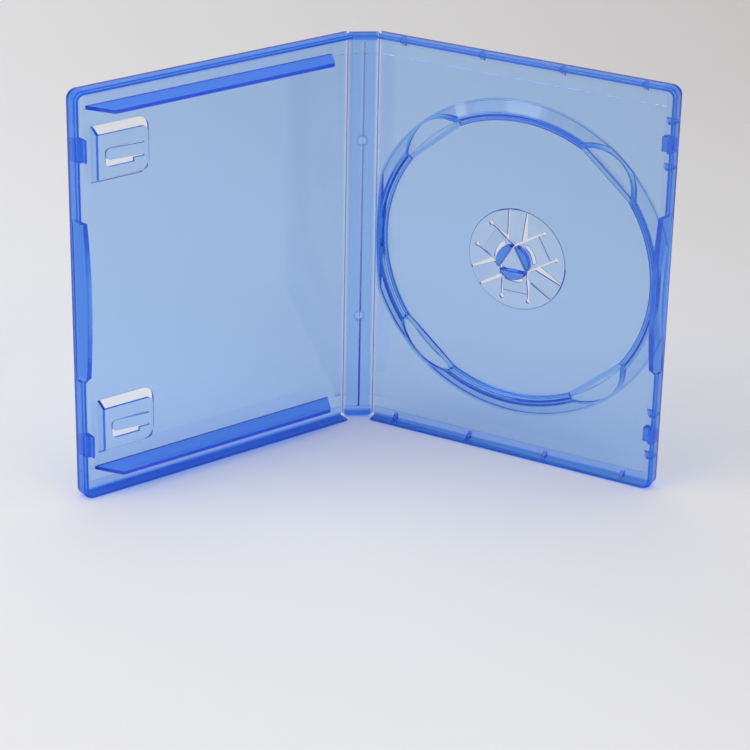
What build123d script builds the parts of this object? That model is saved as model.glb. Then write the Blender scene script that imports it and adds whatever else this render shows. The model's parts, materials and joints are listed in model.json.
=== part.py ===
"""Game disc case standing half open: two covers, a spine, hinge webs, a sprung disc hub and a clear sleeve.

Each leaf has its own plane: x runs across from its hinge, y runs up and z runs from the outer face inward.
"""

import os
from math import radians, sqrt, tan

from build123d import *

os.makedirs("parts", exist_ok=True)

# Case, closed 13.8 thick
case_height = 171.0
panel_width = 131.3
panel_wall = 1.3
side_wall = 1.4
front_depth = 7.0
rear_depth = 6.6
parting_gap = 0.2
corner_radius = 4.0
edge_round = 0.8
seam_inset = 0.5
seam_height = 1.4
closed_thickness = front_depth + parting_gap + rear_depth
mid_height = case_height / 2
wall_face = panel_width - side_wall
weld = 0.4

# Hinge webs; hinge_fold is how far each hinge stands from lying flat
hinge_fold = 32.65
web_thickness = 0.6
web_reach = 0.7
web_end_gap = 1.0
axis_inset = web_thickness / 2
spine_pitch = closed_thickness - 2 * axis_inset
bend_radius = web_reach / tan(radians(hinge_fold / 2))
wall_start = 2.1

# Spine
spine_wall = 2.1
spine_end_gap = 0.6
flange_gap = 0.25
flange_inset = 1.35
flange_wall = 1.3
flange_depth = 3.4
flange_level = side_wall + flange_gap
spine_line_width = 1.6
spine_line_depth = 0.6
mark_radius = 2.2
mark_floor_radius = 1.3
mark_depth = 0.45
mark_offset = 39.0

# Clear sleeve in its shallow outer recess
film_thickness = 0.2
film_gap = 0.05
recess_depth = 0.25
recess_gap = 0.3
sleeve_margin = 6.0
sleeve_end = panel_width - sleeve_margin
sleeve_start = web_reach + recess_gap
sleeve_trim = 9.5
recess_trim = 4.5

# Disc seat
disc_radius = 60.0
disc_thickness = 1.2
disc_hole_radius = 7.5
disc_seat = 3.0
disc_gap = 0.8
seat_step = 0.3
well_draft = 0.4
lip_draft = 0.2
lip_width = 1.5
lip_spare = 0.3
lip_rise = disc_thickness + lip_spare
shoulder_run = 5.2
shoulder_step = 0.7
ring_wall = 1.1
ring_hinge_edge = 2.3
ring_u = wall_face / 2
ring_crest = disc_seat + lip_rise
lip_inner = disc_radius + disc_gap
seat_inner = lip_inner - seat_step
well_radius = seat_inner - well_draft
lip_outer = lip_inner + lip_draft + lip_width
shoulder_radius = lip_outer + shoulder_run

# Finger scallops in the ring
scallop_turns = (49.5, 130.5, 229.5, 310.5)
scallop_radius = 17.3
scallop_margin = 1.2
scallop_floor = 1.6
scallop_centre = shoulder_radius - scallop_margin - scallop_radius
scallop_chord = (lip_inner**2 - scallop_radius**2 + scallop_centre**2) / (2 * scallop_centre)
scallop_half = sqrt(lip_inner**2 - scallop_chord**2)
sill_width = 1.9
sill_level = 2.3

# Disc hub
hub_arms = (("hub_arm_lower", -90.0), ("hub_arm_right", 30.0), ("hub_arm_left", 150.0))
sector_turn = 60.0
hub_pad_radius = 21.4
hub_pad_depth = 0.45
pad_line_half = 0.25
pad_line_depth = 0.15
arm_half = 5.5
arm_slot = 0.9
arm_wall = panel_wall - hub_pad_depth
arm_root = 14.2
arm_root_gap = 0.2
arm_lift = hub_pad_depth
slot_end = 17.0
slot_hole_radius = 1.0
lobe_clearance = 0.1
lobe_radius = disc_hole_radius - lobe_clearance
lobe_face = lobe_radius / 2
lobe_rise = 2.8
lobe_lead = 0.8
crescent_gap = 0.3
crescent_width = 1.6
crescent_half = 28.0
spoke_tip_half = 2.75
spoke_end_half = 3.5
spoke_bend = 10.0
wedge_inner = 8.6
wedge_outer = 20.7
wedge_edge = 4.5
button_gap = 0.25
button_wall = arm_wall
button_round = 0.6
arm_under = disc_seat - arm_wall
lobe_top = disc_seat + lobe_rise
opening_half = arm_half + arm_slot

# Thumb grip in both free-edge walls
thumb_half = 34.0
thumb_ramp = 1.6
thumb_step = 2.0
thumb_foot = 0.15
thumb_fill = 0.6
thumb_sill = 0.6
thumb_floor = panel_wall + thumb_sill

# Front ledges
ledge_low = 10.5
ledge_drop = 8.6
ledge_high = case_height - ledge_drop
ledge_wall = 1.5
ledge_gap = 0.4
ledge_round = 1.5
ledge_foot_hinge = 8.5
ledge_foot_free = 7.9
ledge_slant_hinge = 6.0
ledge_slant_free = 6.8
ledge_crest = closed_thickness - panel_wall - ledge_gap

# Booklet clips
clip_offset = 57.4
clip_inset = 9.7
clip_root = panel_width - clip_inset
clip_riser = 1.2
clip_top = 5.7
clip_wall = 1.1
clip_reach = 23.3
clip_height = 18.0
clip_round = 2.5
clip_hole_gap = 3.0
clip_hole_side = 2.5
clip_hole_round = 5.0
clip_hole_reach = clip_reach - clip_riser + clip_hole_gap
clip_hole_height = clip_height + 2 * clip_hole_side
window_start = 4.0
window_margin = 1.9
window_end = clip_reach - window_margin
window_above = 0.9
window_below = 2.2
slit_run = 4.6
slit_width = 0.7
tongue_width = 4.6
tongue_gap = 1.1
tongue_dip = 1.6
tongue_round = 2.0

# Latches
latch_offset = 62.0
latch_length = 9.0
latch_height = 3.4
latch_reach = 2.6
latch_nib = 1.6
latch_lead = 0.5
catch_length = 6.0
catch_reach = 1.2
catch_drop = 0.3
catch_gap = 0.3
catch_foot_reach = 4.2
catch_foot_top = 4.4

# Stiffening gussets of the rear cover
gusset_wall = 1.4
gusset_reach = 3.0
gusset_height = 4.2
gusset_first = 12.0
gusset_pitch = 35.0
gusset_count = 4
catch_gusset_offset = 9.3
catch_gusset_reach = 4.2
catch_gusset_crown = 1.5
catch_gusset_height = 4.4


def leaf_plane(axis_point, turn):
    """Outer face of a leaf that is turned about an upright hinge axis."""
    across = Vector(1, 0, 0).rotate(Axis.Z, turn)
    inward = Vector(0, -1, 0).rotate(Axis.Z, turn)
    return Plane(origin=axis_point - inward * axis_inset, x_dir=across, z_dir=inward)


rear_axis = Vector(-panel_width / 2, rear_depth / 2 - axis_inset, 0)
rear_leaf = leaf_plane(rear_axis, 0)
spine_leaf = leaf_plane(rear_axis, hinge_fold)
front_axis = rear_axis - spine_leaf.x_dir * spine_pitch
front_leaf = leaf_plane(front_axis, 2 * hinge_fold)
rear_side = 1
front_side = -1

ring_centre = rear_leaf.from_local_coords((ring_u, mid_height, 0))
ring_frame = Plane(origin=ring_centre, x_dir=rear_leaf.x_dir, z_dir=rear_leaf.z_dir)
ring_section = Plane(origin=ring_centre, x_dir=rear_leaf.x_dir, z_dir=-rear_leaf.y_dir)
ring_axis = Axis(ring_centre, rear_leaf.z_dir)


def level_section(leaf, height):
    """Level plane through a leaf: x across, y into the case."""
    origin = leaf.from_local_coords((0, height, 0))
    return Plane(origin=origin, x_dir=leaf.x_dir, z_dir=-leaf.y_dir)


def upright_section(leaf, across):
    """Upright plane through a leaf: x up, y into the case."""
    origin = leaf.from_local_coords((across, 0, 0))
    return Plane(origin=origin, x_dir=leaf.y_dir, z_dir=leaf.x_dir)


def cover_plan(leaf, side, level, inset, hinge_end):
    """Plan of a cover at one level: set in from its walled edges, square at the hinge."""
    with BuildSketch(leaf.offset(level)) as plan:
        with Locations((side * (hinge_end + panel_width - inset) / 2, mid_height)):
            Rectangle(panel_width - inset - hinge_end, case_height - 2 * inset)
        free_corners = plan.vertices().sort_by(Axis.X, reverse=side < 0)[-2:]
        fillet(free_corners, radius=corner_radius - inset)
    return plan.sketch


def hinge_strip(leaf):
    """Plan of the strip beside the hinge where a cover has no end walls."""
    with BuildSketch(leaf.offset(panel_wall)) as strip:
        with Locations((0, mid_height)):
            Rectangle(2 * wall_start, case_height)
    return strip.sketch


def outer_edges(cover, leaf, side):
    """Edges of a cover's outer face, all but the one along its hinge."""
    hinge_point = leaf.from_local_coords((side * web_reach, mid_height, 0))
    outer_face = cover.faces().sort_by(Axis(leaf.origin, leaf.z_dir))[0]
    return outer_face.edges().sort_by_distance(hinge_point)[1:]


def hinge_edge(sheet, leaf, across, thickness):
    """Inner edge of a leaf's sheet along its hinge."""
    return sheet.edges().sort_by_distance(leaf.from_local_coords((across, mid_height, thickness)))[0]


def sleeve_plan(leaf, side, level, start, end, trim):
    """Plan of the sleeve, or of its recess, on a cover."""
    with BuildSketch(leaf.offset(level)) as plan:
        with Locations((side * (start + end) / 2, mid_height)):
            Rectangle(end - start, case_height - 2 * trim)
    return plan.sketch


def spine_plan(level, inset, trim):
    """Plan of the spine, or of a strip on it, set in from both hinge axes."""
    with BuildSketch(spine_leaf.offset(level)) as plan:
        with Locations((-spine_pitch / 2, mid_height)):
            Rectangle(spine_pitch - 2 * inset, case_height - 2 * trim)
    return plan.sketch


def thumb_plan(leaf, side, level, face, step, spare):
    """Plan of the thumb grip: a bow set back from a wall's face, with some spare behind the face."""
    shoulder = face - step
    low = mid_height - thumb_half
    high = mid_height + thumb_half
    with BuildSketch(leaf.offset(level)) as plan:
        with BuildLine():
            Polyline(
                (side * shoulder, high - thumb_ramp),
                (side * face, high),
                (side * (face + spare), high),
                (side * (face + spare), low),
                (side * face, low),
                (side * shoulder, low + thumb_ramp),
            )
            ThreePointArc(
                (side * shoulder, low + thumb_ramp),
                (side * (shoulder - step / 2), mid_height),
                (side * shoulder, high - thumb_ramp),
            )
        make_face()
    return plan.sketch


def gusset_profile(foot, direction, reach, crown, height):
    """Outline of a gusset between the sheet and a wall whose inner face stands at foot."""
    return (
        (foot - direction * weld, panel_wall - weld),
        (foot + direction * reach, panel_wall - weld),
        (foot + direction * reach, panel_wall),
        (foot + direction * crown, panel_wall + height),
        (foot - direction * weld, panel_wall + height),
    )


def turned_frame(turn):
    """Plane of the ring with its x axis turned to one arm or spoke of the hub."""
    return Plane(origin=ring_centre, x_dir=ring_frame.x_dir.rotate(ring_axis, turn), z_dir=ring_frame.z_dir)


def turned_section(spoke):
    """Plane through the hub along one arm or spoke: x out from the centre, y into the case."""
    return Plane(origin=ring_centre, x_dir=spoke.x_dir, z_dir=-spoke.y_dir)


def scallop_plan(level, grow, inner):
    """Plan of the four scallops at one level: round outside, straight along their inner side."""
    with BuildSketch(ring_frame.offset(level)) as plan:
        for scallop_turn in scallop_turns:
            with PolarLocations(scallop_centre, 1, start_angle=scallop_turn):
                Circle(scallop_radius + grow)
                with Locations((inner - scallop_centre, 0)):
                    Rectangle(
                        2 * (scallop_radius + grow),
                        2 * (scallop_radius + grow),
                        align=(Align.MAX, Align.CENTER),
                        mode=Mode.SUBTRACT,
                    )
    return plan.sketch


# Ridge around the disc well, with four finger scallops
with BuildPart() as disc_ring:
    with BuildSketch(ring_section):
        with BuildLine():
            Polyline(
                (well_radius, panel_wall - weld),
                (well_radius, panel_wall),
                (seat_inner, disc_seat),
                (lip_inner, disc_seat),
                (lip_inner + lip_draft, ring_crest),
                (lip_outer, ring_crest),
                (shoulder_radius, panel_wall + shoulder_step),
                (shoulder_radius, panel_wall - weld),
                close=True,
            )
        make_face()
    revolve(axis=ring_axis)
    extrude(
        cover_plan(rear_leaf, rear_side, 0, side_wall / 2, ring_hinge_edge),
        amount=rear_depth,
        mode=Mode.INTERSECT,
    )
    with BuildSketch(ring_frame.offset(panel_wall - weld)):
        for scallop_turn in scallop_turns:
            with PolarLocations(scallop_chord + weld, 1, start_angle=scallop_turn):
                Rectangle(sill_width + weld, 2 * scallop_half, align=(Align.MAX, Align.CENTER))
    extrude(amount=sill_level - panel_wall + weld)
    extrude(scallop_plan(scallop_floor, 0, scallop_chord), amount=ring_crest, mode=Mode.SUBTRACT)

# Hollow behind the ridge, shallower behind the scallops
with BuildPart() as ring_hollow:
    with BuildSketch(ring_section):
        with BuildLine():
            Polyline(
                (seat_inner, 0),
                (seat_inner + ring_wall, disc_seat - ring_wall),
                (lip_inner + ring_wall, disc_seat - ring_wall),
                (lip_inner + ring_wall, ring_crest - ring_wall),
                (shoulder_radius - ring_wall, panel_wall + shoulder_step - ring_wall),
                (shoulder_radius - ring_wall, 0),
                close=True,
            )
        make_face()
    revolve(axis=ring_axis)
    extrude(
        cover_plan(rear_leaf, rear_side, 0, side_wall + ring_wall, ring_hinge_edge + ring_wall),
        amount=rear_depth,
        mode=Mode.INTERSECT,
    )
    extrude(
        scallop_plan(scallop_floor - ring_wall, ring_wall, scallop_chord - sill_width),
        amount=ring_crest,
        mode=Mode.SUBTRACT,
    )

# Rear cover
with BuildPart() as rear_cover:
    extrude(cover_plan(rear_leaf, rear_side, 0, 0, web_reach), amount=rear_depth - seam_height)
    fillet(outer_edges(rear_cover.part, rear_leaf, rear_side), radius=edge_round)
    extrude(
        cover_plan(rear_leaf, rear_side, rear_depth - seam_height, seam_inset, web_reach),
        amount=seam_height,
    )
    extrude(
        cover_plan(rear_leaf, rear_side, panel_wall, side_wall, -wall_start),
        amount=rear_depth,
        mode=Mode.SUBTRACT,
    )
    extrude(hinge_strip(rear_leaf), amount=rear_depth, mode=Mode.SUBTRACT)
    chamfer(
        hinge_edge(rear_cover.part, rear_leaf, web_reach, panel_wall),
        length=panel_wall - web_thickness,
    )
    loft(
        [
            thumb_plan(rear_leaf, rear_side, panel_wall, wall_face, thumb_foot, weld),
            thumb_plan(rear_leaf, rear_side, rear_depth, wall_face, thumb_step + thumb_fill, weld),
        ]
    )
    loft(
        [
            thumb_plan(rear_leaf, rear_side, thumb_floor, panel_width, thumb_foot, side_wall),
            thumb_plan(rear_leaf, rear_side, rear_depth, panel_width, thumb_step, side_wall),
        ],
        mode=Mode.SUBTRACT,
    )
    extrude(
        sleeve_plan(rear_leaf, rear_side, 0, web_reach, sleeve_end + recess_gap, recess_trim),
        amount=recess_depth,
        mode=Mode.SUBTRACT,
    )
    add(disc_ring.part)
    add(ring_hollow.part, mode=Mode.SUBTRACT)
    for gusset in range(gusset_count):
        with BuildSketch(upright_section(rear_leaf, gusset_first + gusset * gusset_pitch)):
            Polygon(*gusset_profile(side_wall, 1, gusset_reach, 0, gusset_height), align=None)
            Polygon(
                *gusset_profile(case_height - side_wall, -1, gusset_reach, 0, gusset_height),
                align=None,
            )
        extrude(amount=gusset_wall / 2, both=True)
    for latch_height_sign in (-1, 1):
        catch_height = mid_height + latch_height_sign * latch_offset
        with BuildSketch(level_section(rear_leaf, catch_height)):
            Polygon(
                (wall_face + weld, panel_wall - weld),
                (wall_face - catch_foot_reach, panel_wall - weld),
                (wall_face - catch_foot_reach, catch_foot_top),
                (wall_face - catch_reach, catch_foot_top),
                (wall_face - catch_reach, rear_depth - catch_drop),
                (wall_face + weld, rear_depth - catch_drop),
                align=None,
            )
        extrude(amount=catch_length / 2, both=True)
        for gusset_sign in (-1, 1):
            with BuildSketch(level_section(rear_leaf, catch_height + gusset_sign * catch_gusset_offset)):
                Polygon(
                    *gusset_profile(
                        wall_face,
                        -1,
                        catch_gusset_reach,
                        catch_gusset_crown,
                        catch_gusset_height,
                    ),
                    align=None,
                )
            extrude(amount=gusset_wall / 2, both=True)
    with BuildSketch(ring_frame):
        Circle(hub_pad_radius)
    extrude(amount=hub_pad_depth, mode=Mode.SUBTRACT)
    for arm_name, arm_turn in hub_arms:
        spoke_frame = turned_frame(arm_turn + sector_turn)
        with BuildSketch(spoke_frame):
            with Locations((lobe_face, 0)):
                Rectangle(wedge_outer - lobe_face, 2 * wedge_edge, align=(Align.MIN, Align.CENTER))
        extrude(amount=panel_wall, mode=Mode.SUBTRACT)
        with BuildSketch(turned_section(spoke_frame)):
            Polygon(
                (wedge_outer + weld, hub_pad_depth),
                (wedge_outer + weld, panel_wall),
                (wedge_outer, panel_wall),
                (spoke_bend, disc_seat),
                (lobe_face, disc_seat),
                (lobe_face, arm_under),
                (spoke_bend, arm_under),
                (wedge_outer, hub_pad_depth),
                align=None,
            )
        extrude(amount=wedge_edge, both=True)
    with BuildSketch(ring_section):
        Polygon(
            (hub_pad_radius - pad_line_half, 0),
            (hub_pad_radius - pad_line_half, hub_pad_depth),
            (hub_pad_radius, hub_pad_depth + pad_line_depth),
            (hub_pad_radius + pad_line_half, recess_depth),
            (hub_pad_radius + pad_line_half, 0),
            align=None,
        )
    revolve(axis=ring_axis, mode=Mode.SUBTRACT)
    with BuildSketch(ring_frame):
        with PolarLocations(0, len(hub_arms), start_angle=hub_arms[0][1]):
            with Locations((arm_root / 2, 0)):
                Rectangle(arm_root, 2 * opening_half)
            for slot_sign in (-1, 1):
                with Locations(((arm_root + slot_end) / 2, slot_sign * (arm_half + arm_slot / 2))):
                    Rectangle(slot_end - arm_root + arm_slot, arm_slot)
                with Locations((slot_end, slot_sign * (arm_half + arm_slot / 2))):
                    Circle(slot_hole_radius)
        with PolarLocations(0, len(hub_arms), start_angle=hub_arms[0][1] + sector_turn):
            for wedge_sign in (-1, 1):
                Polygon(
                    (wedge_inner, wedge_sign * spoke_tip_half),
                    (wedge_outer, wedge_sign * spoke_end_half),
                    (wedge_outer, wedge_sign * wedge_edge),
                    (wedge_inner, wedge_sign * wedge_edge),
                    align=None,
                )
    extrude(amount=ring_crest, mode=Mode.SUBTRACT)
rear_cover.part.label = "rear_cover"
export_step(rear_cover.part, "parts/rear_cover.step")

# Front cover
with BuildPart() as front_cover:
    extrude(cover_plan(front_leaf, front_side, 0, 0, web_reach), amount=front_depth - seam_height)
    fillet(outer_edges(front_cover.part, front_leaf, front_side), radius=edge_round)
    extrude(
        cover_plan(front_leaf, front_side, front_depth - seam_height, seam_inset, web_reach),
        amount=seam_height,
    )
    extrude(
        cover_plan(front_leaf, front_side, panel_wall, side_wall, -wall_start),
        amount=front_depth,
        mode=Mode.SUBTRACT,
    )
    extrude(hinge_strip(front_leaf), amount=front_depth, mode=Mode.SUBTRACT)
    chamfer(
        hinge_edge(front_cover.part, front_leaf, -web_reach, panel_wall),
        length=panel_wall - web_thickness,
    )
    loft(
        [
            thumb_plan(front_leaf, front_side, panel_wall, wall_face, thumb_foot, weld),
            thumb_plan(front_leaf, front_side, front_depth, wall_face, thumb_step + thumb_fill, weld),
        ]
    )
    loft(
        [
            thumb_plan(front_leaf, front_side, thumb_floor, panel_width, thumb_foot, side_wall),
            thumb_plan(front_leaf, front_side, front_depth, panel_width, thumb_step, side_wall),
        ],
        mode=Mode.SUBTRACT,
    )
    extrude(
        sleeve_plan(front_leaf, front_side, 0, web_reach, sleeve_end + recess_gap, recess_trim),
        amount=recess_depth,
        mode=Mode.SUBTRACT,
    )
    for ledge_height in (ledge_low, ledge_high):
        with BuildSketch(level_section(front_leaf, ledge_height)) as ledge_profile:
            Polygon(
                (-ledge_foot_hinge, panel_wall - weld),
                (-ledge_foot_hinge, panel_wall),
                (-ledge_foot_hinge - ledge_slant_hinge, ledge_crest),
                (-panel_width + ledge_foot_free + ledge_slant_free, ledge_crest),
                (-panel_width + ledge_foot_free, panel_wall),
                (-panel_width + ledge_foot_free, panel_wall - weld),
                align=None,
            )
            fillet(ledge_profile.vertices().sort_by(Axis.Y)[-2:], radius=ledge_round)
        extrude(amount=ledge_wall / 2, both=True)
    for clip_sign in (-1, 1):
        clip_centre = mid_height + clip_sign * clip_offset
        clip_tip = clip_root - clip_reach
        hole_root = clip_root - clip_riser
        with BuildSketch(front_leaf) as clip_hole:
            with Locations((-hole_root + clip_hole_reach / 2, clip_centre)):
                Rectangle(clip_hole_reach, clip_hole_height)
            fillet(clip_hole.vertices().sort_by(Axis.X)[-2:], radius=clip_hole_round)
        extrude(amount=panel_wall, mode=Mode.SUBTRACT)
        with BuildSketch(upright_section(front_leaf, -clip_root)):
            Polygon(
                (clip_centre - clip_hole_height / 2, panel_wall - weld),
                (clip_centre + clip_hole_height / 2, panel_wall - weld),
                (clip_centre + clip_hole_height / 2, panel_wall),
                (clip_centre + clip_height / 2, clip_top),
                (clip_centre - clip_height / 2, clip_top),
                (clip_centre - clip_hole_height / 2, panel_wall),
                align=None,
            )
        extrude(amount=clip_riser)
        with BuildSketch(front_leaf.offset(clip_top - clip_wall)) as clip_tab:
            with Locations((-clip_root + clip_reach / 2, clip_centre)):
                Rectangle(clip_reach, clip_height)
            fillet(clip_tab.vertices().sort_by(Axis.X)[-2:], radius=clip_round)
        extrude(amount=clip_wall)
        with BuildSketch(front_leaf.offset(clip_top - clip_wall)) as clip_window:
            with Locations((-clip_root + window_start, clip_centre - tongue_width / 2 - window_below)):
                Rectangle(
                    window_end - slit_run - window_start,
                    tongue_width + window_below + window_above,
                    align=(Align.MIN, Align.MIN),
                )
            fillet(clip_window.vertices().sort_by(Axis.X)[:2], radius=tongue_round)
            with Locations((-clip_root + window_end, clip_centre)):
                Rectangle(
                    2 * slit_run,
                    tongue_width + 2 * slit_width,
                    align=(Align.MAX, Align.CENTER),
                )
        extrude(amount=clip_wall, mode=Mode.SUBTRACT)
        with BuildSketch(level_section(front_leaf, clip_centre)):
            Polygon(
                (-clip_tip - clip_wall, clip_top),
                (-clip_tip - clip_wall, clip_top - clip_wall),
                (-clip_tip - clip_reach + window_end, clip_top - clip_wall),
                (-clip_root + window_start + tongue_gap, clip_top - clip_wall - tongue_dip),
                (-clip_root + window_start + tongue_gap, clip_top - tongue_dip),
                (-clip_tip - clip_reach + window_end, clip_top),
                align=None,
            )
        extrude(amount=tongue_width / 2, both=True)
        for tongue_sign in (-1, 1):
            tongue_corner = front_leaf.from_local_coords(
                (
                    -clip_root + window_start + tongue_gap,
                    clip_centre + tongue_sign * tongue_width / 2,
                    clip_top - tongue_dip - clip_wall / 2,
                )
            )
            fillet(front_cover.edges().sort_by_distance(tongue_corner)[0], radius=tongue_round)
    for latch_sign in (-1, 1):
        with BuildSketch(level_section(front_leaf, mid_height + latch_sign * latch_offset)):
            Polygon(
                (-wall_face - weld, front_depth - latch_height - latch_reach),
                (-wall_face - weld, front_depth),
                (-wall_face + catch_reach + catch_gap, front_depth),
                (-wall_face + catch_reach + catch_gap, front_depth + latch_nib),
                (-wall_face + latch_reach - latch_lead, front_depth + latch_nib),
                (-wall_face + latch_reach, front_depth + latch_nib - latch_lead),
                (-wall_face + latch_reach, front_depth - latch_height),
                (-wall_face, front_depth - latch_height - latch_reach),
                align=None,
            )
        extrude(amount=latch_length / 2, both=True)
front_cover.part.label = "front_cover"
export_step(front_cover.part, "parts/front_cover.step")

# Spine
with BuildPart() as spine:
    extrude(spine_plan(0, web_reach, spine_end_gap), amount=spine_wall)
    for hinge_across in (-web_reach, web_reach - spine_pitch):
        chamfer(
            hinge_edge(spine.part, spine_leaf, hinge_across, spine_wall),
            length=spine_wall - web_thickness,
        )
    with BuildSketch(spine_leaf.offset(web_thickness)):
        for flange_height in (flange_level + flange_wall / 2, case_height - flange_level - flange_wall / 2):
            with Locations((-spine_pitch / 2, flange_height)):
                Rectangle(spine_pitch - 2 * flange_inset, flange_wall)
    extrude(amount=flange_depth - web_thickness)
    with BuildSketch(level_section(spine_leaf, case_height - recess_trim)):
        Polygon(
            (-spine_pitch / 2, recess_depth + spine_line_depth),
            ((spine_line_width - spine_pitch) / 2, recess_depth),
            (-(spine_line_width + spine_pitch) / 2, recess_depth),
            align=None,
        )
    extrude(amount=case_height - 2 * recess_trim, mode=Mode.SUBTRACT)
    for mark_height in (mid_height - mark_offset, mid_height + mark_offset):
        with BuildSketch(spine_leaf.offset(recess_depth)):
            with Locations((-spine_pitch / 2, mark_height)):
                Circle(mark_radius)
        with BuildSketch(spine_leaf.offset(recess_depth + mark_depth)):
            with Locations((-spine_pitch / 2, mark_height)):
                Circle(mark_floor_radius)
        loft(mode=Mode.SUBTRACT)
    extrude(spine_plan(0, web_reach, recess_trim), amount=recess_depth, mode=Mode.SUBTRACT)
spine.part.label = "spine"
export_step(spine.part, "parts/spine.step")

# Hinge webs, bent between the leaves that they join
with BuildPart() as rear_hinge_web:
    with BuildSketch(upright_section(rear_leaf, web_reach)):
        with Locations((mid_height, web_thickness / 2)):
            Rectangle(case_height - 2 * web_end_gap, web_thickness)
    revolve(
        axis=Axis(rear_leaf.from_local_coords((web_reach, 0, axis_inset + bend_radius)), (0, 0, 1)),
        revolution_arc=hinge_fold,
    )
rear_hinge_web.part.label = "rear_hinge_web"
export_step(rear_hinge_web.part, "parts/rear_hinge_web.step")

with BuildPart() as front_hinge_web:
    with BuildSketch(upright_section(spine_leaf, web_reach - spine_pitch)):
        with Locations((mid_height, web_thickness / 2)):
            Rectangle(case_height - 2 * web_end_gap, web_thickness)
    revolve(
        axis=Axis(
            spine_leaf.from_local_coords((web_reach - spine_pitch, 0, axis_inset + bend_radius)),
            (0, 0, 1),
        ),
        revolution_arc=hinge_fold,
    )
front_hinge_web.part.label = "front_hinge_web"
export_step(front_hinge_web.part, "parts/front_hinge_web.step")

# Hub arms, each with a lobe that grips the disc's hole
for arm_name, arm_turn in hub_arms:
    arm_frame = turned_frame(arm_turn)
    arm_end = arm_root - arm_root_gap
    with BuildPart() as hub_arm:
        with BuildSketch(turned_section(arm_frame)):
            Polygon(
                (arm_end, arm_lift),
                (arm_end, arm_lift + arm_wall),
                (lobe_radius, disc_seat),
                (lobe_face, disc_seat),
                (lobe_face, arm_under),
                (lobe_radius, arm_under),
                align=None,
            )
        extrude(amount=arm_half, both=True)
        with BuildSketch(arm_frame.offset(arm_under)):
            Circle(lobe_radius)
            with Locations((lobe_face, 0)):
                Rectangle(
                    lobe_radius,
                    2 * arm_half,
                    align=(Align.MIN, Align.CENTER),
                    mode=Mode.INTERSECT,
                )
        extrude(amount=lobe_top - arm_under)
        lobe_cap = hub_arm.faces().sort_by(Axis(ring_centre, arm_frame.z_dir))[-1]
        fillet(lobe_cap.edges(), radius=lobe_lead)
        with BuildSketch(arm_frame.offset(arm_lift)):
            with BuildLine():
                CenterArc(
                    (0, 0),
                    lobe_radius + crescent_gap + crescent_width / 2,
                    -crescent_half,
                    2 * crescent_half,
                )
            trace(line_width=crescent_width)
        extrude(amount=disc_seat, mode=Mode.SUBTRACT)
    hub_arm.part.label = arm_name
    export_step(hub_arm.part, f"parts/{arm_name}.step")

# Centre plate of the hub
with BuildPart() as hub_button:
    with BuildSketch(ring_frame.offset(arm_under)) as button_plan:
        RegularPolygon(
            2 * (lobe_face - button_gap),
            len(hub_arms),
            rotation=hub_arms[0][1] + sector_turn,
        )
        fillet(button_plan.vertices(), radius=button_round)
    extrude(amount=button_wall)
hub_button.part.label = "hub_button"
export_step(hub_button.part, "parts/hub_button.step")

# Clear sleeve on the three outer faces
film_level = recess_depth - film_gap - film_thickness
with BuildPart() as sleeve_rear:
    extrude(
        sleeve_plan(rear_leaf, rear_side, film_level, sleeve_start, sleeve_end, sleeve_trim),
        amount=film_thickness,
    )
sleeve_rear.part.label = "sleeve_rear"
export_step(sleeve_rear.part, "parts/sleeve_rear.step")

with BuildPart() as sleeve_front:
    extrude(
        sleeve_plan(front_leaf, front_side, film_level, sleeve_start, sleeve_end, sleeve_trim),
        amount=film_thickness,
    )
sleeve_front.part.label = "sleeve_front"
export_step(sleeve_front.part, "parts/sleeve_front.step")

with BuildPart() as sleeve_spine:
    extrude(spine_plan(film_level, sleeve_start, sleeve_trim), amount=film_thickness)
sleeve_spine.part.label = "sleeve_spine"
export_step(sleeve_spine.part, "parts/sleeve_spine.step")
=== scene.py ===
"""Clear blue game disc case standing half open, dressed for the library as a small add-on that runs as a script."""

import json
from math import cos, radians, sin, tan

import bpy
from mathutils import Matrix, Vector


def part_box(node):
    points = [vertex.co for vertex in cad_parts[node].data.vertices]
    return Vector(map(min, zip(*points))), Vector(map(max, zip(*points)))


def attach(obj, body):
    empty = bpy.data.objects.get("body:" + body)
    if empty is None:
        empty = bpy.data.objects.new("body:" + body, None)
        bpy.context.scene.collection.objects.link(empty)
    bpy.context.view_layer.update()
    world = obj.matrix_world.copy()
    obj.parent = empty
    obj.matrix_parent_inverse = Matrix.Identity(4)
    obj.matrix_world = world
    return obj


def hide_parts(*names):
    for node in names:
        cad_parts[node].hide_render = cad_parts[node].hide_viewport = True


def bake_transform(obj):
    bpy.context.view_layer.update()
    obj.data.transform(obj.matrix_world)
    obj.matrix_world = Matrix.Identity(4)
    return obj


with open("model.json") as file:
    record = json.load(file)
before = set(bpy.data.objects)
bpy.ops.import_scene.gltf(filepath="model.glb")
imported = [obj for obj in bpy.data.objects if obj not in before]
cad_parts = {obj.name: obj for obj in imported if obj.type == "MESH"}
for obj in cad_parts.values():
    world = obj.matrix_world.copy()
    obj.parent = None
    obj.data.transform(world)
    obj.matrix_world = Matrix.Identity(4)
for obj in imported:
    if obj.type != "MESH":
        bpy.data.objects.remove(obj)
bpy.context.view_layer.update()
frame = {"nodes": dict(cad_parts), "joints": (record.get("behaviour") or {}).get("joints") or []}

bl_info = {
    "name": "Game disc case",
    "version": (1, 0, 0),
    "blender": (4, 5, 0),
    "location": "View3D > Sidebar > Disc case",
    "description": "Dresses the solids of an open game disc case: plastic, hinge folds, clear sleeve and stage",
    "category": "Object",
}

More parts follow.
